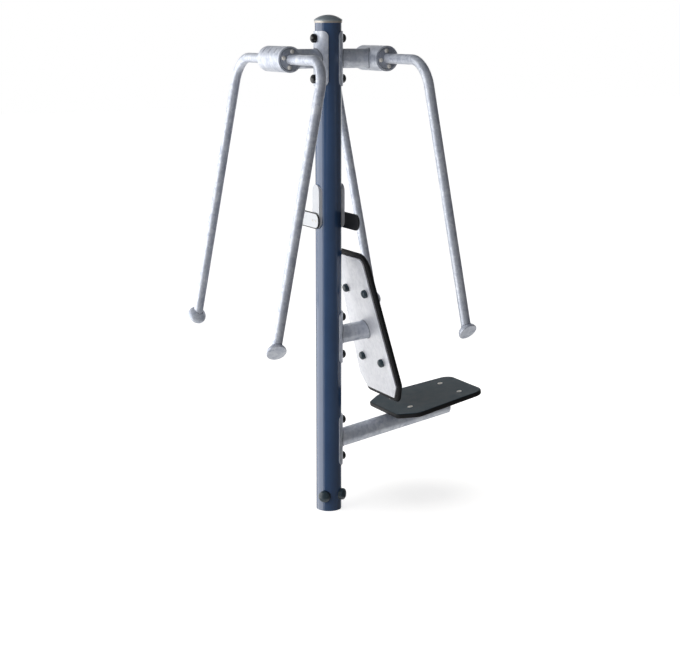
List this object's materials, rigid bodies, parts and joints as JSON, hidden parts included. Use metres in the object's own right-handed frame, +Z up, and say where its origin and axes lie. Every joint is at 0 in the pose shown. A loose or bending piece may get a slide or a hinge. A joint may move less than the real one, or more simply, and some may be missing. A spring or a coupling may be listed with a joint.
{
  "type": "outdoor double chest press",
  "caption": "Outdoor chest press: a round post carries opposed stations of swinging push arms with knob ends, with a seat and back rest on the front station and open room at the rear.",
  "frame": {"origin": "centre of the post's foot, at ground level", "axes": "+Z up along the post, +X from the post towards the seat, +Y completes the right-handed frame"},
  "size_m": [1.2202, 0.9252, 2.189],
  "materials": {
    "post_paint": "satin dark blue powder coat",
    "galvanised_steel": "matt hot-dip galvanised, faint spangle",
    "machined_steel": "turned steel",
    "stainless": "plain stainless",
    "bright_ring": "bright turned ring",
    "black_plastic": "moulded black, slight gloss",
    "plate_cap_plastic": "moulded slate blue, slight gloss",
    "cap_plastic": "moulded grey-green",
    "bush_plastic": "brown oil-filled bearing plastic",
    "buffer_rubber": "black rubber",
    "pad_black": "matt black cast foam board",
    "seat_slate": "fine-grained dark slate board",
    "carrier_grey": "light grey moulded",
    "sign_black": "black board, bare face"
  },
  "bodies": {
    "frame": {"back_pad": "pad_black", "back_pad_bolt_caps": "plate_cap_plastic", "back_pad_bolts": "stainless", "back_pad_inserts": "stainless", "back_plate": "galvanised_steel", "back_saddle": "galvanised_steel", "back_tube": "galvanised_steel", "cap_ring": "bright_ring", "foot_bolt_caps": "plate_cap_plastic", "foot_bolts": "stainless", "foot_sleeve": "galvanised_steel", "lower_bolt_caps": "black_plastic", "lower_bracket_bolts": "stainless", "lower_bracket_nuts": "stainless", "open_side_bushes": "bush_plastic", "open_side_housing": "galvanised_steel", "open_side_saddle": "galvanised_steel", "open_side_sign_carrier": "carrier_grey", "open_side_sign_plate": "sign_black", "open_side_stop_buffers": "buffer_rubber", "open_side_stop_key": "stainless", "open_side_stop_nut": "stainless", "open_side_stub_tube": "galvanised_steel", "post": "post_paint", "post_cap": "cap_plastic", "seat_board": "seat_slate", "seat_bolts": "stainless", "seat_nuts": "stainless", "seat_plate": "galvanised_steel", "seat_saddle": "galvanised_steel", "seat_side_bushes": "bush_plastic", "seat_side_housing": "galvanised_steel", "seat_side_saddle": "galvanised_steel", "seat_side_sign_carrier": "carrier_grey", "seat_side_sign_plate": "sign_black", "seat_side_stop_buffers": "buffer_rubber", "seat_side_stop_key": "stainless", "seat_side_stop_nut": "stainless", "seat_side_stub_tube": "galvanised_steel", "seat_tube": "galvanised_steel", "seat_tube_cap": "galvanised_steel", "sign_screws": "stainless", "top_bolt_caps": "black_plastic", "top_bolt_nuts": "stainless", "top_through_bolts": "stainless"},
    "seat_side_press": {"seat_side_hub": "machined_steel", "seat_side_arm_flanges": "galvanised_steel", "seat_side_flange_bolts": "stainless", "seat_side_front_arm": "galvanised_steel", "seat_side_rear_arm": "galvanised_steel", "seat_side_front_knob": "galvanised_steel", "seat_side_rear_knob": "galvanised_steel"},
    "open_side_press": {"open_side_hub": "machined_steel", "open_side_arm_flanges": "galvanised_steel", "open_side_flange_bolts": "stainless", "open_side_front_arm": "galvanised_steel", "open_side_rear_arm": "galvanised_steel", "open_side_front_knob": "galvanised_steel", "open_side_rear_knob": "galvanised_steel"}
  },
  "joints": [
    {"name": "seat_side_swing", "type": "hinge", "parent": "frame", "child": "seat_side_press", "pos_m": [0.2285, 0, 2.006], "axis": [0, -1, 0], "range_deg": [0, 35]},
    {"name": "open_side_swing", "type": "hinge", "parent": "frame", "child": "open_side_press", "pos_m": [-0.2285, 0, 2.006], "axis": [0, 1, 0], "range_deg": [0, 35]}
  ]
}
